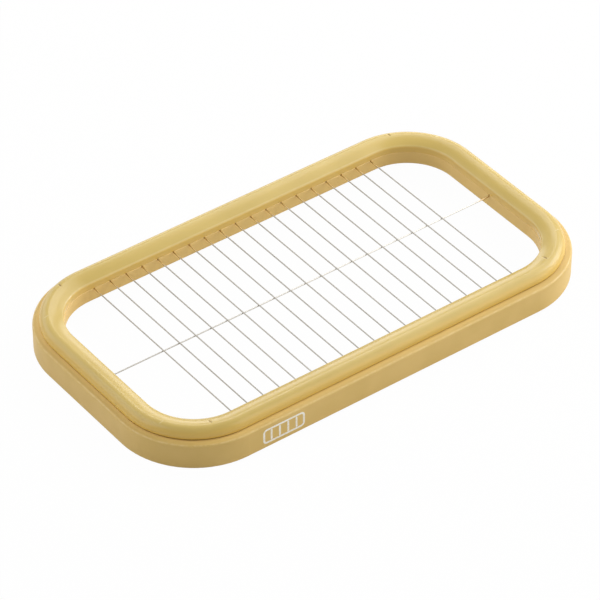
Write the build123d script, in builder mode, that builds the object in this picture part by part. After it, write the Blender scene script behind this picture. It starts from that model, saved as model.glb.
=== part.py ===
"""Wire butter slicer: a two-piece moulded frame strung with a grid of steel wires.

Millimetres, +Z up, the long side along X. The origin is at the middle of the
frame, on the surface that its bottom rim stands on.

A "depth" below is a distance inwards from the frame's outer wall, and a
"height" is a distance up from the bottom rim.
"""

import os
from math import cos, radians, tan

from build123d import *

os.makedirs("parts", exist_ok=True)

# Overall size
frame_length = 166.3
frame_width = 93.3
corner_radius = 27.1  # outer wall, seen from above

# Lower frame: a channel open at the top, with a skirt under its outer wall
band_width = 9.9  # outer wall to inner wall, the width of the whole band
outer_wall = 2.45
inner_wall = 1.53
floor_thickness = 1.6
skirt_height = 4.35  # bottom rim up to the underside of the channel
skirt_rim = 2.0  # thickness of the skirt at its rim, thinner than the wall
parting_height = 9.0  # top of the inner wall, where the upper ring sits
seam_rise = 0.2  # the shoulder's inner edge stands this much above the parting
shoulder_fall = 0.45  # fall of the shoulder from the seam to the outer wall
shoulder_radius = 0.8
rim_radius = 0.5
inner_edge_chamfer = 0.15

# Upper ring: a hollow rounded bead that closes the channel
ring_height = 3.87  # parting up to the crest
ring_setback = 0.1  # its inner face stands back from the lower frame's
ring_wall = 1.5
ring_slope = 20  # degrees, rise of its top from the opening to the crest
crest_radius = 2.8
lip_radius = 0.9
seam_radius = 0.3
bead_overhang = 0.3  # reach of the bead over the shoulder
seam_gap = 0.25  # beside the outer leg
seam_lift = 0.12  # between the bead and the shoulder
leg_clearance = 0.1  # outer leg to the channel's floor

# Snap bead of the upper ring's outer leg, and its groove in the outer wall
snap_height = 1.1  # above the channel's floor
snap_depth = 0.3
snap_half_height = 0.3
snap_clearance = 0.05

# Wires
wire_diameter = 0.4
cross_wire_count = 19
cross_wire_pitch = 6.0
wire_cover = 0.05  # from the top of a cross wire to the parting
crossing_gap = 0.02  # from the cross wires down to the lengthwise wire
wire_leg = 1.8  # drop of a wire's bent end, below the middle of its span
leg_setback = 1.0  # from the back of the inner wall to the middle of a leg

# Anchor bosses in the channel, one for each wire end, with a slot for the wire
boss_width = 2.4
boss_back = 1.0  # plastic behind the middle of a leg
slot_clearance = 0.04  # beside and under a wire
pocket_clearance = 0.1  # under the end of a leg

# Worked out from the sizes above
total_height = parting_height + ring_height
half_length = frame_length / 2
half_width = frame_width / 2
wire_radius = wire_diameter / 2
floor_height = skirt_height + floor_thickness
wall_back = band_width - inner_wall
seam_height = parting_height + seam_rise
shoulder_height = seam_height - shoulder_fall
cross_wire_height = parting_height - wire_cover - wire_radius
lengthwise_wire_height = cross_wire_height - wire_diameter - crossing_gap
leg_depth = wall_back - leg_setback
cross_span = 2 * (half_width - leg_depth)
lengthwise_span = 2 * (half_length - leg_depth)
slot_width = wire_diameter + 2 * slot_clearance
pocket_drop = wire_leg + pocket_clearance
ring_inner = band_width - ring_setback
ring_leg = outer_wall + seam_gap
bead_side = outer_wall - bead_overhang
snap_middle = floor_height + snap_height

print("opening", frame_length - 2 * band_width, "x", frame_width - 2 * band_width)
print("cross wire height", cross_wire_height)


# The outline of the outer wall, which every section of the frame follows
near_left = (-half_length + corner_radius, -half_width)
with BuildLine() as outline:
    near_side = Line(near_left, (half_length - corner_radius, -half_width))
    near_right = JernArc(near_side @ 1, near_side % 1, corner_radius, 90)
    right_end = Line(near_right @ 1, (half_length, half_width - corner_radius))
    far_right = JernArc(right_end @ 1, right_end % 1, corner_radius, 90)
    far_side = Line(far_right @ 1, (-half_length + corner_radius, half_width))
    far_left = JernArc(far_side @ 1, far_side % 1, corner_radius, 90)
    left_end = Line(far_left @ 1, (-half_length, -half_width + corner_radius))
    JernArc(left_end @ 1, left_end % 1, corner_radius, 90)

# Sections are drawn as (depth, height) where the outline starts
section_plane = Plane(origin=(*near_left, 0), x_dir=(0, 1, 0), z_dir=(1, 0, 0))


def corner_near(section, depth, height):
    """The corner of a section that lies nearest to a depth and height."""
    return section.vertices().sort_by_distance((depth, height, 0))[0]


# Lower frame
with BuildPart() as lower_frame:
    with BuildSketch(section_plane) as channel_section:
        with BuildLine():
            Polyline(
                (skirt_rim, 0),
                (0, 0),
                (0, shoulder_height),
                (outer_wall, seam_height),
                (outer_wall, snap_middle + snap_half_height),
                (outer_wall - snap_depth, snap_middle),
                (outer_wall, snap_middle - snap_half_height),
                (outer_wall, floor_height),
                (wall_back, floor_height),
                (wall_back, parting_height),
                (band_width, parting_height),
                (band_width, skirt_height),
                (outer_wall, skirt_height),
                close=True,
            )
        make_face()
        fillet(corner_near(channel_section, 0, shoulder_height), shoulder_radius)
        fillet(corner_near(channel_section, 0, 0), rim_radius)
        fillet(corner_near(channel_section, band_width, skirt_height), rim_radius)
        chamfer(corner_near(channel_section, band_width, parting_height), inner_edge_chamfer)
    sweep(path=outline.wire())

    # Anchor bosses behind the inner wall, as tall as it
    boss_length = leg_setback + boss_back
    boss_middle = wall_back - boss_length / 2
    with BuildSketch(Plane.XY.offset(floor_height)):
        with GridLocations(
            cross_wire_pitch, 2 * (half_width - boss_middle), cross_wire_count, 2
        ):
            Rectangle(boss_width, boss_length)
        with GridLocations(2 * (half_length - boss_middle), 0, 2, 1):
            Rectangle(boss_length, boss_width)
    extrude(amount=parting_height - floor_height)

    # Slots that carry the wires through the inner wall and into the bosses
    with BuildSketch(Plane.XY.offset(parting_height)):
        with GridLocations(cross_wire_pitch, 0, cross_wire_count, 1):
            Rectangle(slot_width, cross_span + slot_width)
    extrude(amount=-(parting_height - cross_wire_height + slot_width / 2), mode=Mode.SUBTRACT)
    with BuildSketch(Plane.XY.offset(parting_height)):
        Rectangle(lengthwise_span + slot_width, slot_width)
    extrude(amount=-(parting_height - lengthwise_wire_height + slot_width / 2), mode=Mode.SUBTRACT)

    # Pockets at the slots' ends, for the wires' legs
    with BuildSketch(Plane.XY.offset(parting_height)):
        with GridLocations(cross_wire_pitch, cross_span, cross_wire_count, 2):
            Rectangle(slot_width, slot_width)
    extrude(amount=-(parting_height - cross_wire_height + pocket_drop), mode=Mode.SUBTRACT)
    with BuildSketch(Plane.XY.offset(parting_height)):
        with GridLocations(lengthwise_span, 0, 2, 1):
            Rectangle(slot_width, slot_width)
    extrude(amount=-(parting_height - lengthwise_wire_height + pocket_drop), mode=Mode.SUBTRACT)

lower_frame.part.label = "lower_frame"
export_step(lower_frame.part, "parts/lower_frame.step")


# Upper ring: its top rises from the lip to the crest and rolls over to the seam
slope = radians(ring_slope)
crest_middle_height = total_height - crest_radius
crest_middle_depth = bead_side + crest_radius


def top_height(depth):
    """Height of the sloped top, before its ends are rounded."""
    return crest_middle_height + crest_radius / cos(slope) - tan(slope) * (depth - crest_middle_depth)


def roof_height(depth):
    """Height of the hollow's roof, one wall under the sloped top."""
    return top_height(depth) - ring_wall / cos(slope)


with BuildPart() as upper_ring:
    with BuildSketch(section_plane) as bead_section:
        leg_bottom = floor_height + leg_clearance
        underside = seam_height + seam_lift
        snap_reach = ring_leg - snap_depth - seam_gap + snap_clearance
        inner_leg = ring_inner - ring_wall
        outer_leg = ring_leg + ring_wall
        with BuildLine():
            Polyline(
                (ring_inner, parting_height),
                (ring_inner, top_height(ring_inner)),
                (bead_side, top_height(bead_side)),
                (bead_side, underside),
                (ring_leg, underside),
                (ring_leg, snap_middle + snap_half_height),
                (snap_reach, snap_middle),
                (ring_leg, snap_middle - snap_half_height),
                (ring_leg, leg_bottom),
                (outer_leg, leg_bottom),
                (outer_leg, roof_height(outer_leg)),
                (inner_leg, roof_height(inner_leg)),
                (inner_leg, parting_height),
                close=True,
            )
        make_face()
        fillet(corner_near(bead_section, ring_inner, top_height(ring_inner)), lip_radius)
        fillet(corner_near(bead_section, bead_side, top_height(bead_side)), crest_radius)
        fillet(corner_near(bead_section, bead_side, underside), seam_radius)
        fillet(corner_near(bead_section, outer_leg, roof_height(outer_leg)), crest_radius - ring_wall)
    sweep(path=outline.wire())

upper_ring.part.label = "upper_ring"
export_step(upper_ring.part, "parts/upper_ring.step")


# Wires: a straight span with both ends bent down, the bends drawn as plain mitres
def wire_path(span, height):
    """The middle line of a wire, from one leg's end over the opening to the other."""
    foot = height - wire_leg
    return [(-span / 2, foot), (-span / 2, height), (span / 2, height), (span / 2, foot)]


first_wire = -(cross_wire_count - 1) / 2 * cross_wire_pitch
for index in range(cross_wire_count):
    place = first_wire + index * cross_wire_pitch
    wire_plane = Plane(origin=(place, 0, 0), x_dir=(0, 1, 0), z_dir=(1, 0, 0))
    with BuildPart() as cross_wire:
        with BuildLine(wire_plane) as cross_line:
            Polyline(*wire_path(cross_span, cross_wire_height))
        with BuildSketch(Plane(origin=cross_line.line @ 0, z_dir=cross_line.line % 0)):
            Circle(wire_radius)
        sweep(path=cross_line.wire(), transition=Transition.RIGHT)
    cross_wire.part.label = f"cross_wire_{index + 1:02d}"
    export_step(cross_wire.part, f"parts/{cross_wire.part.label}.step")

with BuildPart() as lengthwise_wire:
    with BuildLine(Plane.XZ) as lengthwise_line:
        Polyline(*wire_path(lengthwise_span, lengthwise_wire_height))
    with BuildSketch(Plane(origin=lengthwise_line.line @ 0, z_dir=lengthwise_line.line % 0)):
        Circle(wire_radius)
    sweep(path=lengthwise_line.wire(), transition=Transition.RIGHT)

lengthwise_wire.part.label = "lengthwise_wire"
export_step(lengthwise_wire.part, "parts/lengthwise_wire.step")

print("wires", cross_wire_count, "x", cross_span, "and 1 x", lengthwise_span)
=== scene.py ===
import math

import bpy
import numpy as np
from mathutils import Matrix, Vector


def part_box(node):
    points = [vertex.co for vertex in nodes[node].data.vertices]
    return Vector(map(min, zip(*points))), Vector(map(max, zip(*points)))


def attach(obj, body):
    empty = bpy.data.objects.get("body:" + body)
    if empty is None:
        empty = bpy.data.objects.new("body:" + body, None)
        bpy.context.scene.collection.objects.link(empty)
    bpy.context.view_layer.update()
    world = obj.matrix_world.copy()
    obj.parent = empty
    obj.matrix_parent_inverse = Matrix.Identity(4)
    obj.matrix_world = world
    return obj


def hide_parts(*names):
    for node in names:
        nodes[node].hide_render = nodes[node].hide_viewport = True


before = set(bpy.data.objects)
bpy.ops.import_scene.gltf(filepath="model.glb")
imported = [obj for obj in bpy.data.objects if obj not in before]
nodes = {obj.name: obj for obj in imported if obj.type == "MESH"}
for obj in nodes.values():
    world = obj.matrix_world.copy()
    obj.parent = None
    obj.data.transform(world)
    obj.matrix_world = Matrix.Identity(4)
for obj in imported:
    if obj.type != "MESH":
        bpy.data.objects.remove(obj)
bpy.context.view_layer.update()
mm = 0.001
print("frame:", len(nodes), "nodes")

# the frame's own sizes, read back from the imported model
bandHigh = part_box("lower_frame")[1]
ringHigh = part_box("upper_ring")[1]
halfLength, halfWidth = bandHigh.x, bandHigh.y
crestHeight = ringHigh.z
cornerRadius = 27.1 * mm  # outer wall, seen from above
creaseAngle = math.radians(28)  # edges that bend more than this stay sharp
plasticIndex = 1.49  # refractive index of the plastic and the ink
plainWhite = (1.0, 1.0, 1.0, 1.0)


# a socket that Python arithmetic works on: each operator adds one Math node
class Signal:
    def __init__(self, tree, socket):
        self.tree = tree
        self.socket = socket

    # one Math node, of one or two values
    def maths(self, operation, first, second=None):
        values = {0: first} if second is None else {0: first, 1: second}
        return self.tree.add("ShaderNodeMath", {"operation": operation}, values)

    def __add__(self, other):
        return self.maths("ADD", self, other)

    def __radd__(self, other):
        return self.maths("ADD", other, self)

    def __sub__(self, other):
        return self.maths("SUBTRACT", self, other)

    def __rsub__(self, other):
        return self.maths("SUBTRACT", other, self)

    def __mul__(self, other):
        return self.maths("MULTIPLY", self, other)

    def __rmul__(self, other):
        return self.maths("MULTIPLY", other, self)

    def __truediv__(self, other):
        return self.maths("DIVIDE", self, other)

    def __rtruediv__(self, other):
        return self.maths("DIVIDE", other, self)

    def __abs__(self):
        return self.maths("ABSOLUTE", self)

    def larger(self, other):
        return self.maths("MAXIMUM", self, other)

    def smaller(self, other):
        return self.maths("MINIMUM", self, other)

    def root(self):
        return self.maths("SQRT", self)

    # to the nearest whole number
    def whole(self):
        return self.maths("ROUND", self)

    # 0 below low, 1 above high, smooth between
    def rise(self, low, high):
        settings = {"interpolation_type": "SMOOTHSTEP"}
        values = {"Value": self, "From Min": low, "From Max": high}
        return self.tree.add("ShaderNodeMapRange", settings, values)

    # 1 at the middle, 0 from one width away
    def bump(self, middle, width):
        return 1 - abs(self - middle).rise(0, width)


# a node tree, and the one method that adds nodes to it
class Tree:
    def __init__(self, nodeTree):
        self.nodeTree = nodeTree

    # a link from a signal, or else a plain value on the socket
    def plug(self, target, value):
        if isinstance(value, Signal):
            self.nodeTree.links.new(value.socket, target)
        else:
            target.default_value = value

    # settings go in first, then each input gets a number, a colour or a link
    def add(self, kind, settings=None, inputs=None, out=0):
        node = self.nodeTree.nodes.new(kind)
        for setting, value in (settings or {}).items():
            setattr(node, setting, value)
        for socket, value in (inputs or {}).items():
            self.plug(node.inputs[socket], value)
        return Signal(self, node.outputs[out])

    # camera ray + glossy ray + transmission ray, at most 1: 1 where the camera sees the surface
    # straight, mirrored or through something, 0 where the surface only gives light
    def seenDirectly(self):
        kinds = ("Is Camera Ray", "Is Glossy Ray", "Is Transmission Ray")
        camera, glossy, transmission = [self.add("ShaderNodeLightPath", out=kind) for kind in kinds]
        return (camera + glossy + transmission).smaller(1)

    # plain white light of a strength
    def glow(self, strength):
        return self.add("ShaderNodeEmission", None, {"Color": plainWhite, "Strength": strength})

    # (1 - share) of the first shader + share of the second
    def blend(self, share, first, second):
        return self.add("ShaderNodeMixShader", None, {0: share, 1: first, 2: second})

    # puts a shader on the tree's output
    def surface(self, shader):
        outputs = (node for node in self.nodeTree.nodes if node.bl_idname.startswith("ShaderNodeOutput"))
        self.plug(next(outputs).inputs["Surface"], shader)


# a material with one shader; its constants stand on the shader's own sockets
class Finish(Tree):
    def __init__(self, name, **constants):
        self.material = bpy.data.materials.new(name)
        self.material.use_nodes = True
        super().__init__(self.material.node_tree)
        self.shader = self.nodeTree.nodes["Principled BSDF"]
        for socket, value in constants.items():
            self.feed(socket.replace("_", " "), value)

    # a plain value or a signal on one of the shader's sockets
    def feed(self, socket, value):
        self.plug(self.shader.inputs[socket], value)

    # the point's place on the object, in metres
    def place(self):
        return self.add("ShaderNodeTexCoord", out="Object")

    # x, y and z of a vector
    def split(self, vector):
        return [self.add("ShaderNodeSeparateXYZ", None, {0: vector}, axis) for axis in range(3)]

    # vector * scale, axis by axis
    def stretched(self, vector, scale):
        return self.add("ShaderNodeMapping", None, {"Vector": vector, "Scale": scale})

    # noise of about one bump per size, in metres
    def noise(self, vector, size, detail, roughness=0.5):
        values = {"Vector": vector, "Scale": 1 / size, "Detail": detail, "Roughness": roughness}
        return self.add("ShaderNodeTexNoise", {"normalize": True}, values)

    # (1 - share) of the first colour + share of the second
    def mix(self, share, first, second):
        return self.add("ShaderNodeMix", {"data_type": "RGBA"}, {0: share, 6: first, 7: second}, 2)

    # a normal that leans as if the surface rose by height * distance
    def relief(self, height, distance):
        return self.add("ShaderNodeBump", None, {"Height": height, "Distance": distance, "Strength": 1.0})


# sRGB, 0 to 255, to the linear colour that a shader takes: value / 12.92 in the darkest part,
# and ((value + 0.055) / 1.055) ^ 2.4 above it
def shade(red, green, blue):
    def linear(value):
        value = value / 255
        return value / 12.92 if value <= 0.04045 else ((value + 0.055) / 1.055) ** 2.4

    return (linear(red), linear(green), linear(blue), 1.0)


# depth inwards from the outer wall, as shader maths:
# radius - |max(q, 0)| - min(max(qx, qy), 0), with q = |place| - (half size - radius)
def depthSignal(x, y):
    qx = abs(x) - (halfLength - cornerRadius)
    qy = abs(y) - (halfWidth - cornerRadius)
    outX = qx.larger(0)
    outY = qy.larger(0)
    return cornerRadius - (outX * outX + outY * outY).root() - qx.larger(qy).smaller(0)


# the frame's outline as a path: rows of a centre and an outward direction, so that a point of the
# path is centre + outward * (corner radius - depth); along a straight side the centre slides from
# one corner's to the next, and the steps are finer around some turns, given from the short side
def framePath(straightSteps, cornerSteps, fineTurns, fineSpread, fineSteps):
    centres, turns = [], []
    innerX, innerY = halfLength - cornerRadius, halfWidth - cornerRadius
    corners = [(innerX, -innerY, -90), (innerX, innerY, 0), (-innerX, innerY, 90), (-innerX, -innerY, 180)]
    for index, (x, y, start) in enumerate(corners):
        fromLongSide = index % 2 == 0
        arc = [np.linspace(0, 90, cornerSteps + 1)]
        for fine in fineTurns:
            middle = 90 - fine if fromLongSide else fine
            arc.append(np.linspace(middle - fineSpread, middle + fineSpread, fineSteps))
        turn = np.unique(np.round(np.clip(np.concatenate(arc), 0, 90), 4))
        centres.append(np.tile((x, y), (len(turn), 1)))
        turns.append(start + turn)
        nextX, nextY, _ = corners[(index + 1) % 4]
        share = np.linspace(0, 1, straightSteps + 1)[1:-1, None]
        centres.append((1 - share) * (x, y) + share * (nextX, nextY))
        turns.append(np.full(straightSteps - 1, start + 90.0))
    centre = np.concatenate(centres)
    turn = np.radians(np.concatenate(turns))
    return centre, np.stack([np.cos(turn), np.sin(turn)], 1)


# section with round corners: each corner (depth, height, radius) is cut back by
# radius / tan(half its angle) on both sides and bridged by an arc of that radius
def roundedSection(corners, halfTurnSteps, leastSteps):
    points = np.array([corner[:2] for corner in corners], float)
    section = []
    for index, (depth, height, radius) in enumerate(corners):
        here = points[index]
        if radius == 0:
            section.append(here[None])
            continue
        before = points[index - 1] - here
        after = points[(index + 1) % len(corners)] - here
        before, after = before / np.linalg.norm(before), after / np.linalg.norm(after)
        half = math.acos(float(before @ after)) / 2
        middle = here + (before + after) / np.linalg.norm(before + after) * radius / math.sin(half)
        low = here + before * radius / math.tan(half) - middle
        high = here + after * radius / math.tan(half) - middle
        sweep = math.pi - 2 * half
        steps = max(leastSteps, math.ceil(halfTurnSteps * sweep / math.pi))
        share = np.linspace(0, 1, steps + 1)[:, None]
        arc = (np.sin((1 - share) * sweep) * low + np.sin(share * sweep) * high) / math.sin(sweep)
        section.append(middle + arc)
    return np.concatenate(section)


# the section carried along the path: centre + outward * (corner radius - depth), height
def carried(path, section):
    centre, outward = path
    reach = cornerRadius - section[:, 0]
    flat = centre[:, None, :] + outward[:, None, :] * reach[None, :, None]
    height = np.broadcast_to(section[:, 1], flat.shape[:2])
    return np.concatenate([flat, height[..., None]], 2)


# a grid's faces: each joins a row and the next one between two neighbouring columns;
# the columns close on themselves, and the rows too, or else a face closes either end;
# all are turned round where the closed grid's signed volume comes out negative
def gridFaces(points, closedRun):
    rows, columns = points.shape[:2]
    index = np.arange(rows * columns).reshape(rows, columns)
    here, after = index, np.roll(index, -1, 0)
    quads = np.stack([here, after, np.roll(after, -1, 1), np.roll(here, -1, 1)], -1)
    if closedRun:
        quads = quads.reshape(-1, 4)
    else:
        ends = np.stack([index[0], index[-1, ::-1]])
        quads = np.concatenate([quads[:-1].reshape(-1, 4), ends])
    corner = points.reshape(-1, 3)[quads]
    volume = np.einsum("ij,ij->i", np.cross(corner[:, 0], corner[:, 1]), corner[:, 2]).sum()
    volume += np.einsum("ij,ij->i", np.cross(corner[:, 0], corner[:, 2]), corner[:, 3]).sum()
    return quads[:, ::-1] if volume < 0 else quads


# one mesh from several grids, each (points, closedRun), in the frame's own place
def meshPiece(name, grids):
    faces, start = [], 0
    for points, closedRun in grids:
        faces.append(gridFaces(points, closedRun) + start)
        start += points.shape[0] * points.shape[1]
    quads = np.concatenate(faces)
    flat = np.concatenate([points.reshape(-1, 3) for points, _ in grids])
    mesh = bpy.data.meshes.new(name)
    mesh.vertices.add(len(flat))
    mesh.vertices.foreach_set("co", flat.astype(np.float32).ravel())
    mesh.loops.add(quads.size)
    mesh.loops.foreach_set("vertex_index", quads.astype(np.int32).ravel())
    mesh.polygons.add(len(quads))
    mesh.polygons.foreach_set("loop_start", np.arange(0, quads.size, 4, dtype=np.int32))
    mesh.polygons.foreach_set("use_smooth", np.ones(len(quads), bool))
    mesh.update(calc_edges=True)
    mesh.set_sharp_from_angle(angle=creaseAngle)
    piece = bpy.data.objects.new(name, mesh)
    bpy.context.scene.collection.objects.link(piece)
    return piece


# the piece's one material
def dress(piece, material):
    piece.data.materials.clear()
    piece.data.materials.append(material)


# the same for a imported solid, whose slots stay
def dressNode(name, material):
    for slot in nodes[name].material_slots:
        slot.material = material


# upper ring: the satin bead
bead = {
    # depths, inwards from the lower frame's outer wall
    "outerSide": 2.15 * mm,
    "innerSide": 9.8 * mm,
    "legSide": 2.7 * mm,
    "wall": 1.5 * mm,  # thickness of the plastic
    # heights
    "parting": 9.0 * mm,
    "underside": 9.32 * mm,
    "legFoot": 6.05 * mm,
    # snap on the outer leg: its middle height, half its height, and its reach past the gap beside the leg
    "snapMiddle": 7.05 * mm,
    "snapHalf": 0.3 * mm,
    "snapReach": 0.25 * mm,
    "snapGap": 0.25 * mm,
    # the top falls gently behind the crest and faster past the knee; the hollow's roof is straight
    "crestSlope": math.radians(12),
    "lipSlope": math.radians(28),
    "roofSlope": math.radians(20),
    "kneeDepth": 7.4 * mm,
    "kneeRadius": 12.0 * mm,
    "crestRadius": 2.8 * mm,
    "lipRadius": 0.9 * mm,
    "seamRadius": 0.3 * mm,
    "edgeRadius": 0.1 * mm,
    # steps of the mesh: for half a turn of the section's arcs, the least for an arc, along a straight
    # side, and round a corner
    "halfTurnSteps": 40,
    "leastSteps": 6,
    "straightSteps": 30,
    "cornerSteps": 44,
    # colours
    "colour": shade(209, 181, 98),
    "deep": shade(204, 176, 93),
    # painted shade, standing for the shadow in the seam gap
    "seamShade": shade(136, 94, 36),
    # painted highlight, for the light lines on the crest and the lip
    "highlightAndWear": shade(228, 204, 138),
    # painted warm light, for the glow of the outer roll and the bounce on the opening's face
    "paintedWarmLight": shade(227, 188, 90),
    # noises: the drift of tone, the patches of wear, the skin's waviness and the hairlines;
    # a range holds the two values between which a noise comes in
    "driftSize": 16.0 * mm,
    "driftRange": (0.35, 0.65),
    "patchSize": 3.0 * mm,
    "peelSize": 1.4 * mm,
    "peelHeight": 0.0012 * mm,
    "hairSize": 0.30 * mm,
    "hairStretch": (0.06, 1.0, 1.0),
    "hairRange": (0.5, 0.7),
    "hairPatches": (0.4, 0.6),
    # painted warm light: on the outer roll, where it fades out between these heights and between these
    # depths, and on the opening's face
    "rollHeights": (11.2 * mm, 12.8 * mm),
    "rollDepths": (3.2 * mm, 4.8 * mm),
    "faceDepths": (9.45 * mm, 9.75 * mm),
    "paintedWarmShare": 0.85,
    # painted highlight lines, patchy, as middle depth and width: one on the crest, one on the opening's lip
    "crestLine": (4.6 * mm, 1.2 * mm),
    "crestDrop": 0.5 * mm,  # how far under the crest its line starts
    "crestShare": 0.3,
    "lipLine": (9.45 * mm, 0.4 * mm),
    "lipHeights": (10.4 * mm, 10.9 * mm),
    "highlightEven": 0.2,
    "highlightPatchy": 0.4,
    # painted shade line over the seam, as middle height and width, fading out between these depths
    "seamLine": (9.52 * mm, 0.26 * mm),
    "seamDepths": (2.4 * mm, 3.0 * mm),
    "seamEven": 0.5,
    "seamPatchy": 0.3,
    "seamEnds": 0.35,  # more of it towards the short sides
    "endReach": (48.0 * mm, 72.0 * mm),
    "roughness": 0.20,
    "patchRoughness": 0.03,
    "hairRoughness": 0.05,
}
nick = {
    "alongX": 64.2 * mm,  # nicks square to the long sides
    "alongY": 30.4 * mm,  # nicks square to the short sides
    "far": (3.9 * mm, 5.5 * mm),  # from and to these depths
    "near": (5.4 * mm, 7.2 * mm),
    "ends": (3.6 * mm, 5.3 * mm),
    "fromHeight": 10.5 * mm,  # only the top is cut
    "cut": 0.20 * mm,
    "faintCut": 0.05 * mm,
    "halfWidth": 0.32 * mm,
    "fade": 0.35 * mm,
    "turns": (30.0, 68.5),  # degrees from the short side, where the nicks cross a corner
    "fineSpread": 7.0,  # degrees to either side that get fine steps
    "fineSteps": 56,
    # painted shade in the deep nicks
    "paintedShade": shade(138, 102, 48),
    "paintedShadeShare": 0.85,
    # painted highlight in the faint nicks
    "paintedLight": shade(240, 222, 172),
    "paintedLightShare": 0.45,
    "tintRange": (0.05, 0.8),  # shares of the cut between which the tint comes in
}


# heights of the sloped lines: crest middle + radius / cos(slope) - tan(slope) * depth past the middle
def crestSection():
    radius = bead["crestRadius"]
    middleDepth, middleHeight = bead["outerSide"] + radius, crestHeight - radius

    def lineHeight(slope, depth):
        return middleHeight + radius / math.cos(slope) - math.tan(slope) * (depth - middleDepth)

    kneeHeight = lineHeight(bead["crestSlope"], bead["kneeDepth"])
    lipHeight = kneeHeight - math.tan(bead["lipSlope"]) * (bead["innerSide"] - bead["kneeDepth"])
    roofDrop = bead["wall"] / math.cos(bead["roofSlope"])
    outerLeg = bead["legSide"] + bead["wall"]
    innerLeg = bead["innerSide"] - bead["wall"]
    snapDepth = bead["legSide"] - bead["snapReach"] - bead["snapGap"]
    corners = [
        (bead["innerSide"], bead["parting"], bead["edgeRadius"]),
        (bead["innerSide"], lipHeight, bead["lipRadius"]),
        (bead["kneeDepth"], kneeHeight, bead["kneeRadius"]),
        (bead["outerSide"], lineHeight(bead["crestSlope"], bead["outerSide"]), radius),
        (bead["outerSide"], bead["underside"], bead["seamRadius"]),
        (bead["legSide"], bead["underside"], 0),
        (bead["legSide"], bead["snapMiddle"] + bead["snapHalf"], 0),
        (snapDepth, bead["snapMiddle"], 0),
        (bead["legSide"], bead["snapMiddle"] - bead["snapHalf"], 0),
        (bead["legSide"], bead["legFoot"], 0),
        (outerLeg, bead["legFoot"], 0),
        (outerLeg, lineHeight(bead["roofSlope"], outerLeg) - roofDrop, radius - bead["wall"]),
        (innerLeg, lineHeight(bead["roofSlope"], innerLeg) - roofDrop, 0),
        (innerLeg, bead["parting"], 0),
    ]
    return roundedSection(corners, bead["halfTurnSteps"], bead["leastSteps"])


# a nick: 1 - |offset| / half width across it, faded out at both of its ends, on the corners' tops;
# the deep ones lie square to the long sides, the faint ones to the short sides
def nickShares(points):
    x, y, z = np.abs(points[..., 0]), np.abs(points[..., 1]), points[..., 2]
    qx = x - (halfLength - cornerRadius)
    qy = y - (halfWidth - cornerRadius)
    depth = cornerRadius - np.hypot(np.maximum(qx, 0), np.maximum(qy, 0))
    onTop = (qx > 0) & (qy > 0) & (z > nick["fromHeight"])
    isFar = points[..., 1] > 0

    def share(offset, start, end):
        ends = np.clip((depth - start) / nick["fade"], 0, 1) * np.clip((end - depth) / nick["fade"], 0, 1)
        return np.clip(1 - np.abs(offset) / nick["halfWidth"], 0, 1) * ends * onTop

    alongLong = x - nick["alongX"]
    deep = np.where(isFar, share(alongLong, *nick["far"]), share(alongLong, *nick["near"]))
    return deep, share(y - nick["alongY"], *nick["ends"])


# the section carried round the frame, its points lowered by cut * share where a nick crosses them
def makeBead():
    path = framePath(
        bead["straightSteps"], bead["cornerSteps"], nick["turns"], nick["fineSpread"], nick["fineSteps"]
    )
    points = carried(path, crestSection())
    deepNick, faintNick = nickShares(points)
    points[..., 2] -= nick["cut"] * deepNick + nick["faintCut"] * faintNick
    piece = meshPiece("upper_ring_bead", [(points, True)])
    for name, shares in (("nick", deepNick), ("faintNick", faintNick)):
        attribute = piece.data.attributes.new(name, "FLOAT", "POINT")
        attribute.data.foreach_set("value", shares.astype(np.float32).ravel())
    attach(piece, "root")
    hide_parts("upper_ring")
    return piece


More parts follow.
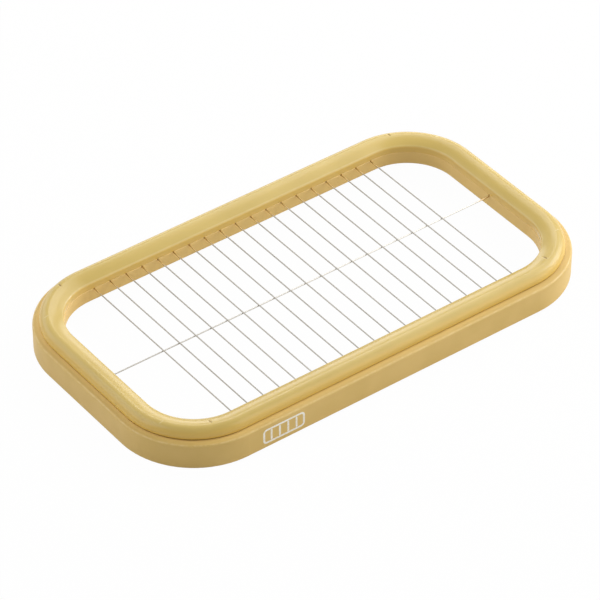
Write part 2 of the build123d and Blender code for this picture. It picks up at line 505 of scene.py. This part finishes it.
# satin plastic: a slow drift of tone, painted warm light on the upright faces, painted highlight lines on
# the crest and the lip, painted shade along the seam and in the deep nicks, a painted highlight in the
# faint nicks, and hairlines that only the gloss shows
def beadFinish():
    finish = Finish("bead_satin_plastic", Metallic=0.0, IOR=plasticIndex)
    place = finish.place()
    x, y, z = finish.split(place)
    depth = depthSignal(x, y)
    drift = finish.noise(place, bead["driftSize"], detail=2)
    patch = finish.noise(place, bead["patchSize"], detail=3)
    peel = finish.noise(place, bead["peelSize"], detail=1)
    hairs = finish.noise(finish.stretched(place, bead["hairStretch"]), bead["hairSize"], detail=1)
    colour = finish.mix(drift.rise(*bead["driftRange"]), bead["deep"], bead["colour"])
    # painted warm light on the outer roll and on the opening's face
    outside = (1 - z.rise(*bead["rollHeights"])) * (1 - depth.rise(*bead["rollDepths"]))
    inside = depth.rise(*bead["faceDepths"])
    colour = finish.mix(outside.larger(inside) * bead["paintedWarmShare"], colour, bead["paintedWarmLight"])
    # painted highlight lines on the crest and the lip, patchy along their length
    crest = depth.bump(*bead["crestLine"]) * z.rise(crestHeight - bead["crestDrop"], crestHeight)
    lip = depth.bump(*bead["lipLine"]) * z.rise(*bead["lipHeights"])
    highlightAndWear = (crest * bead["crestShare"]).larger(lip) * (bead["highlightEven"] + bead["highlightPatchy"] * patch)
    colour = finish.mix(highlightAndWear, colour, bead["highlightAndWear"])
    # painted shade along the seam, stronger towards the short sides
    seam = z.bump(*bead["seamLine"]) * (1 - depth.rise(*bead["seamDepths"]))
    towardsEnds = abs(x).rise(*bead["endReach"])
    seamShare = bead["seamEven"] + bead["seamPatchy"] * patch + bead["seamEnds"] * towardsEnds
    colour = finish.mix(seam * seamShare, colour, bead["seamShade"])
    # painted shade in the deep nicks, painted highlight in the faint ones
    tints = (("nick", nick["paintedShadeShare"], nick["paintedShade"]), ("faintNick", nick["paintedLightShare"], nick["paintedLight"]))
    for attribute, share, tint in tints:
        cut = finish.add("ShaderNodeAttribute", {"attribute_name": attribute}, None, "Fac")
        colour = finish.mix(cut.rise(*nick["tintRange"]) * share, colour, tint)
    hairlines = hairs.rise(*bead["hairRange"]) * patch.rise(*bead["hairPatches"])
    wear = bead["patchRoughness"] * patch + bead["hairRoughness"] * hairlines
    finish.feed("Base Color", colour)
    finish.feed("Roughness", bead["roughness"] + wear)
    finish.feed("Normal", finish.relief(peel, bead["peelHeight"]))
    return finish.material


beadPiece = makeBead()
dress(beadPiece, beadFinish())
print("bead:", len(beadPiece.data.polygons), "faces")


# lower frame: the matte band, whose own solid is dressed
band = {
    # colours
    "colour": shade(221, 187, 109),
    "deep": shade(216, 182, 102),
    # wear, and a painted highlight on the shoulder's edge
    "highlightAndWear": shade(238, 214, 160),
    # painted light on the shoulder beside the seam, against the shade under the bead
    "paintedLight": shade(247, 211, 128),
    # painted shade round the wires' exits
    "paintedShade": shade(120, 88, 40),
    # painted shade beside the seam
    "seamShade": shade(190, 146, 66),
    # painted warm light on the opening's face
    "paintedWarmLight": shade(231, 196, 118),
    # noises: the drift of tone, the mould's grain and the patches of wear
    "driftSize": 12.0 * mm,
    "driftRange": (0.35, 0.65),
    "grainSize": 0.22 * mm,
    "grainRange": (0.3, 0.7),
    "grainShare": 0.06,
    "grainHeight": 0.006 * mm,
    "patchSize": 2.2 * mm,
    "patchRange": (0.38, 0.62),
    # edges lighter in patches: the shoulder's, worn and with a painted highlight, as middle depth and
    # width, coming in between these heights, and the bottom rim's, worn, fading out between these heights
    # and between these depths
    "edgeLine": (0.35 * mm, 0.35 * mm),
    "edgeHeights": (8.2 * mm, 8.55 * mm),
    "rimHeights": (0.15 * mm, 0.6 * mm),
    "rimDepths": (0.3 * mm, 0.8 * mm),
    "highlightAndWearShare": 0.35,
    # painted shade line beside the seam towards the short sides, as middle depth and width
    "seamLine": (2.45 * mm, 0.25 * mm),
    "seamHeights": (8.6 * mm, 8.9 * mm),
    "seamShare": 0.7,
    # painted light on the shoulder, against the shade under the bead, coming in between these heights and
    # the first depths, fading out at the others
    "slopeHeights": (8.3 * mm, 8.7 * mm),
    "slopeStart": (0.7 * mm, 2.0 * mm),
    "slopeEnd": (2.3 * mm, 2.5 * mm),
    "slopeShare": 0.8,
    "endReach": (30.0 * mm, 72.0 * mm),  # |x| where that painted seam shade comes in, and x where the painted shoulder light goes out
    "faceDepths": (9.5 * mm, 9.8 * mm),  # painted warm light on the opening's face
    "innerWall": 9.9 * mm,  # depth of the opening's face
    "roughness": 0.42,
    "grainRoughness": 0.12,
    "rubbedGloss": 0.10,
}
# painted shade: dark spots on the band's inner wall, where the wires leave it
exits = {
    "pitch": 6.0 * mm,  # between the cross wires
    "crossHeight": 8.75 * mm,  # middle lines of the wires
    "lengthwiseHeight": 8.33 * mm,
    "crossSpot": (0.24 * mm, 0.55 * mm),  # dark within the first distance, nothing past the second
    "lengthwiseSpot": (0.30 * mm, 0.80 * mm),
    "longSides": (36.0 * mm, 36.4 * mm),  # |y| where the long sides' spots come in
    "pastLastWire": (55.0 * mm, 55.5 * mm),  # |x| where they end
    "shortSides": (72.6 * mm, 73.0 * mm),  # |x| where the short sides' spots come in
    "faceDepths": (9.0 * mm, 9.5 * mm),
    "share": 0.12,
}


# a spot: 1 near the wire's middle line, falling to 0 further out; the distance is
# root(aside^2 + rise^2), and a cross wire's aside is x - pitch * round(x / pitch)
def exitSpots(x, y, z, depth):
    aside = x - (x / exits["pitch"]).whole() * exits["pitch"]
    rise = z - exits["crossHeight"]
    cross = 1 - (aside * aside + rise * rise).root().rise(*exits["crossSpot"])
    cross = cross * abs(y).rise(*exits["longSides"]) * (1 - abs(x).rise(*exits["pastLastWire"]))
    rise = z - exits["lengthwiseHeight"]
    lengthwise = 1 - (y * y + rise * rise).root().rise(*exits["lengthwiseSpot"])
    lengthwise = lengthwise * abs(x).rise(*exits["shortSides"])
    return cross.larger(lengthwise) * depth.rise(*exits["faceDepths"])


# matte plastic: a slow drift of tone, the grain of the mould's skin, the shoulder's edge and the bottom
# rim lighter in patches (worn, and on the shoulder's edge a painted highlight), painted warm light on the
# opening's face, painted light on the shoulder but for the right end, and painted shade beside the seam
# towards the short sides and round the wires
def bandFinish():
    finish = Finish("band_matte_plastic", Metallic=0.0, IOR=plasticIndex)
    place = finish.place()
    x, y, z = finish.split(place)
    depth = depthSignal(x, y)
    drift = finish.noise(place, band["driftSize"], detail=2)
    grain = finish.noise(place, band["grainSize"], detail=3, roughness=0.6)
    patch = finish.noise(place, band["patchSize"], detail=4, roughness=0.6)
    colour = finish.mix(drift.rise(*band["driftRange"]), band["deep"], band["colour"])
    colour = finish.mix(grain.rise(*band["grainRange"]) * band["grainShare"], colour, band["highlightAndWear"])
    # the shoulder's edge: wear and a painted highlight; the bottom rim: wear
    edge = depth.bump(*band["edgeLine"]) * z.rise(*band["edgeHeights"])
    rim = (1 - z.rise(*band["rimHeights"])) * (1 - depth.rise(*band["rimDepths"]))
    highlightAndWear = edge.larger(rim) * patch.rise(*band["patchRange"]) * band["highlightAndWearShare"]
    colour = finish.mix(highlightAndWear, colour, band["highlightAndWear"])
    # painted warm light on the opening's face
    colour = finish.mix(depth.rise(*band["faceDepths"]), colour, band["paintedWarmLight"])
    # painted light on the shoulder beside the seam, against the shade under the bead, but not at the right
    # end
    slope = z.rise(*band["slopeHeights"]) * depth.rise(*band["slopeStart"])
    slope = slope * (1 - depth.rise(*band["slopeEnd"])) * (1 - x.rise(*band["endReach"]))
    colour = finish.mix(slope * band["slopeShare"], colour, band["paintedLight"])
    # painted shade beside the seam towards the short sides
    seam = depth.bump(*band["seamLine"]) * z.rise(*band["seamHeights"])
    towardsEnds = abs(x).rise(*band["endReach"])
    colour = finish.mix(seam * towardsEnds * band["seamShare"], colour, band["seamShade"])
    # painted shade round the wires' exits
    colour = finish.mix(exitSpots(x, y, z, depth) * exits["share"], colour, band["paintedShade"])
    wear = band["grainRoughness"] * grain - band["rubbedGloss"] * edge
    finish.feed("Base Color", colour)
    finish.feed("Roughness", band["roughness"] + wear)
    finish.feed("Normal", finish.relief(grain, band["grainHeight"]))
    return finish.material


dressNode("lower_frame", bandFinish())
print("band: dressed")


# mark: a block cut in five, printed on the near wall
mark = {
    "width": 15.4 * mm,
    "height": 5.6 * mm,
    "corner": 1.1 * mm,
    "stroke": 0.68 * mm,
    "middleX": -43.0 * mm,
    "middleZ": 4.45 * mm,
    "cuts": (-4.62 * mm, -1.54 * mm, 1.54 * mm, 4.62 * mm),
    "cutReach": 2.0 * mm,  # half the length of a cut line
    "proud": 0.035 * mm,  # ink over the wall
    "sunk": 0.010 * mm,
    "cornerPoints": 13,
    "capPoints": 9,  # in a quarter of a cut line's round end
    "capStart": 4.0,  # degrees, so that the end's last face keeps a width
    "ink": shade(252, 249, 241),
    "thinInk": shade(244, 235, 210),
    "densitySize": 0.5 * mm,
    "densityRange": (0.35, 0.6),
    "roughness": 0.38,
    "densityRoughness": 0.14,
}


# the printed layer of a stroke: both of its edges, under and over the wall's face
def inkGrid(left, right):
    low, high = -halfWidth + mark["sunk"], -halfWidth - mark["proud"]
    edges = [(left, low), (left, high), (right, high), (right, low)]
    grid = [np.stack([edge[:, 0], np.full(len(edge), y), edge[:, 1]], 1) for edge, y in edges]
    return np.stack(grid, 1)


# rounded frame: corner centre + (corner radius +- half a stroke) in each direction, all round
def blockOutline():
    half = mark["stroke"] / 2
    reachX = mark["width"] / 2 - half - mark["corner"]
    reachZ = mark["height"] / 2 - half - mark["corner"]
    quarter = np.linspace(0, 90, mark["cornerPoints"])
    turn = np.radians(np.concatenate([quarter + start for start in (0, 90, 180, 270)]))
    signs = np.repeat([(1, 1), (-1, 1), (-1, -1), (1, -1)], mark["cornerPoints"], 0)
    centre = signs * (reachX, reachZ) + (mark["middleX"], mark["middleZ"])
    out = np.stack([np.cos(turn), np.sin(turn)], 1)
    return inkGrid(centre + out * (mark["corner"] + half), centre + out * (mark["corner"] - half))


# cut line: half width = root(radius^2 - (distance past the straight part)^2)
def cutLine(offset):
    radius = mark["stroke"] / 2
    turn = np.radians(np.linspace(mark["capStart"], 90, mark["capPoints"]))
    cap = mark["cutReach"] - radius + radius * np.cos(turn)
    height = np.concatenate([-cap, cap[::-1]])
    halfSpread = radius * np.sin(np.concatenate([turn, turn[::-1]]))
    middle = mark["middleX"] + offset
    left = np.stack([middle - halfSpread, mark["middleZ"] + height], 1)
    right = np.stack([middle + halfSpread, mark["middleZ"] + height], 1)
    return inkGrid(left, right)


# printed ink: its density varies, and thin ink lets the plastic's yellow through
def inkFinish():
    finish = Finish("mark_white_ink", Metallic=0.0, IOR=plasticIndex)
    place = finish.place()
    density = finish.noise(place, mark["densitySize"], detail=3, roughness=0.6)
    finish.feed("Base Color", finish.mix(density.rise(*mark["densityRange"]), mark["thinInk"], mark["ink"]))
    finish.feed("Roughness", mark["roughness"] + mark["densityRoughness"] * density)
    return finish.material


strokes = [(blockOutline(), True)] + [(cutLine(offset), False) for offset in mark["cuts"]]
markPiece = meshPiece("cut_block_mark", strokes)
dress(markPiece, inkFinish())
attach(markPiece, "root")
print("mark:", len(markPiece.data.polygons), "faces")


# wires: drawn steel
wire = {
    "cross": shade(150, 146, 138),
    "crossDark": shade(136, 132, 124),
    "lengthwise": shade(196, 192, 184),
    "lengthwiseDark": shade(160, 156, 148),
    # painted reflection: the lengthwise wire darker on its left half, lighter on its right
    "reflectionFade": 45.0 * mm,  # to either side of the middle, where the one tone goes over into the other
    "reflectionFadeShare": 0.7,  # of the change of tone, the rest follows the drawn lines
    "paintedReflection": shade(206, 170, 102),  # painted reflection of the yellow wall, at the far end
    "reflectionStart": 5.0 * mm,  # before the wall
    "reflectionFull": 2.6 * mm,
    "reflectionShare": 0.75,
    # drawn lines: their size, and how much closer together they lie along and across the wire
    "lineSize": 12.0 * mm,
    "lineAlong": 0.25,
    "lineAcross": 60.0,
    "lineRange": (0.3, 0.7),
    "lineHeight": 0.0005 * mm,
    "roughness": 0.30,
    "lineRoughness": 0.08,
}


# drawn steel: the lines run along the wire, so the noise is stretched that way; a painted reflection of
# the yellow wall comes in before the wall, whose distance is from the middle to where the wire enters the
# frame
def wireFinish(name, along, wall, dark, colour, reflectionFade=0.0):
    finish = Finish(name, Metallic=1.0)
    place = finish.place()
    run = finish.split(place)[along]
    stretch = [wire["lineAlong"] if axis == along else wire["lineAcross"] for axis in range(3)]
    lines = finish.noise(finish.stretched(place, stretch), wire["lineSize"], detail=2)
    share = lines.rise(*wire["lineRange"])
    if reflectionFade:  # painted reflection: the wire's left half darker than its right one
        share = share * (1 - wire["reflectionFadeShare"]) + run.rise(-reflectionFade, reflectionFade) * wire["reflectionFadeShare"]
    # painted reflection of the yellow wall, before the wall
    paintedReflection = run.rise(wall - wire["reflectionStart"], wall - wire["reflectionFull"])
    steel = finish.mix(share, dark, colour)
    finish.feed("Base Color", finish.mix(paintedReflection * wire["reflectionShare"], steel, wire["paintedReflection"]))
    finish.feed("Roughness", wire["roughness"] + wire["lineRoughness"] * lines)
    finish.feed("Normal", finish.relief(lines, wire["lineHeight"]))
    return finish.material


crossWall, lengthwiseWall = halfWidth - band["innerWall"], halfLength - band["innerWall"]
crossSteel = wireFinish("cross_wire_steel", 1, crossWall, wire["crossDark"], wire["cross"])
for name in nodes:
    if name.startswith("cross_wire"):
        dressNode(name, crossSteel)
lengthwiseSteel = wireFinish(
    "lengthwise_wire_steel", 0, lengthwiseWall, wire["lengthwiseDark"], wire["lengthwise"], wire["reflectionFade"]
)
dressNode("lengthwise_wire", lengthwiseSteel)
print("wires: dressed")


# floor and light
studio = {
    "floor": 3.0,  # metres across
    "floorHeight": -0.05 * mm,  # a hair under the bottom rim, so that the two faces don't share a plane
    "floorColour": shade(232, 230, 226),
    "floorRoughness": 0.9,
    "seenWhite": 0.98,  # share of plain white that the camera sees on the floor, the rest keeps the shadow
    "sky": 0.26,
}
# azimuth from +X towards +Y and elevation in degrees, distance, width and height in metres, power in watts
lamps = {
    "key": dict(azimuth=0, elevation=44, distance=0.80, width=0.60, height=0.60, power=1.87),
    "side": dict(azimuth=-8, elevation=24, distance=0.90, width=0.50, height=0.50, power=1.90),
    "near": dict(azimuth=-37, elevation=27, distance=0.90, width=1.00, height=0.90, power=4.50),
    "rear": dict(azimuth=147, elevation=36, distance=0.90, width=1.00, height=0.90, power=3.65),
    "far": dict(azimuth=100, elevation=22, distance=0.90, width=0.60, height=0.40, power=0.90),
    "low": dict(azimuth=52, elevation=12, distance=0.80, width=0.56, height=0.20, power=0.65),
    "crest": dict(azimuth=48, elevation=46, distance=0.50, width=0.20, height=0.20, power=0.34),
}


# a flat square; its own pale surface takes the shadow, and a share of plain white lies over it
# where it is seen
def makeFloor():
    half, low = studio["floor"] / 2, studio["floorHeight"]
    mesh = bpy.data.meshes.new("floor")
    corners = [(-half, -half, low), (half, -half, low), (half, half, low), (-half, half, low)]
    mesh.from_pydata(corners, [], [(0, 1, 2, 3)])
    floor = bpy.data.objects.new("floor", mesh)
    bpy.context.scene.collection.objects.link(floor)
    looks = {"Base_Color": studio["floorColour"], "Roughness": studio["floorRoughness"]}
    finish = Finish("floor_pale", Specular_IOR_Level=0.0, **looks)
    share = finish.seenDirectly() * studio["seenWhite"]
    finish.surface(finish.blend(share, Signal(finish, finish.shader.outputs[0]), finish.glow(1.0)))
    mesh.materials.append(finish.material)


# the world: plain white where it is seen, and a soft share of it as light
def makeSky():
    world = bpy.data.worlds.new("studio")
    bpy.context.scene.world = world
    world.use_nodes = True
    sky = Tree(world.node_tree)
    soft = sky.add("ShaderNodeBackground", None, {"Color": plainWhite, "Strength": studio["sky"]})
    white = sky.add("ShaderNodeBackground", None, {"Color": plainWhite, "Strength": 1.0})
    sky.surface(sky.blend(sky.seenDirectly(), soft, white))


# the lamp stands at distance * aim and faces the origin, with aim =
# (cos azimuth cos elevation, sin azimuth cos elevation, sin elevation)
def makeLamp(name, azimuth, elevation, distance, width, height, power):
    data = bpy.data.lights.new(name, "AREA")
    data.shape = "RECTANGLE"
    data.size = width
    data.size_y = height
    data.energy = power
    lamp = bpy.data.objects.new(name, data)
    bpy.context.scene.collection.objects.link(lamp)
    azimuth, elevation = math.radians(azimuth), math.radians(elevation)
    level = math.cos(elevation)
    aim = Vector((math.cos(azimuth) * level, math.sin(azimuth) * level, math.sin(elevation)))
    turned = aim.to_track_quat("Z", "Y").to_matrix().to_4x4()
    lamp.matrix_world = Matrix.Translation(aim * distance) @ turned


# camera: worked out from the wires' places in the photograph
view = {
    "azimuth": math.radians(-36.87),
    "elevation": math.radians(39.48),
    "distance": 1158.4 * mm,
    "right": 1.67 * mm,  # how far the object's middle lies right of and above the picture's
    "up": 5.40 * mm,
    "middleHeight": 8.75 * mm,  # the cross wires' middle lines
    "lens": 224.27,  # millimetres, on a sensor of this width
    "sensor": 36,
    "clipEnd": 20,  # metres
}


# the camera stands at back * distance from the object's middle, less the two offsets across the picture
def makeCamera():
    azimuth, elevation = view["azimuth"], view["elevation"]
    level = math.cos(elevation)
    back = Vector((math.sin(azimuth) * level, -math.cos(azimuth) * level, math.sin(elevation)))
    right = Vector((math.cos(azimuth), math.sin(azimuth), 0))
    up = back.cross(right)
    place = back * view["distance"] - right * view["right"] - up * view["up"]
    place.z += view["middleHeight"]
    data = bpy.data.cameras.new("camera")
    data.lens = view["lens"]
    data.sensor_width = view["sensor"]
    data.clip_end = view["clipEnd"]
    camera = bpy.data.objects.new("camera", data)
    bpy.context.scene.collection.objects.link(camera)
    turned = Matrix((right, up, back)).transposed().to_4x4()
    camera.matrix_world = Matrix.Translation(place) @ turned
    bpy.context.scene.camera = camera


makeFloor()
makeSky()
for name, lamp in lamps.items():
    makeLamp(name, **lamp)
makeCamera()
bpy.context.scene.view_settings.view_transform = "Standard"
print("studio:", len(lamps), "lamps")
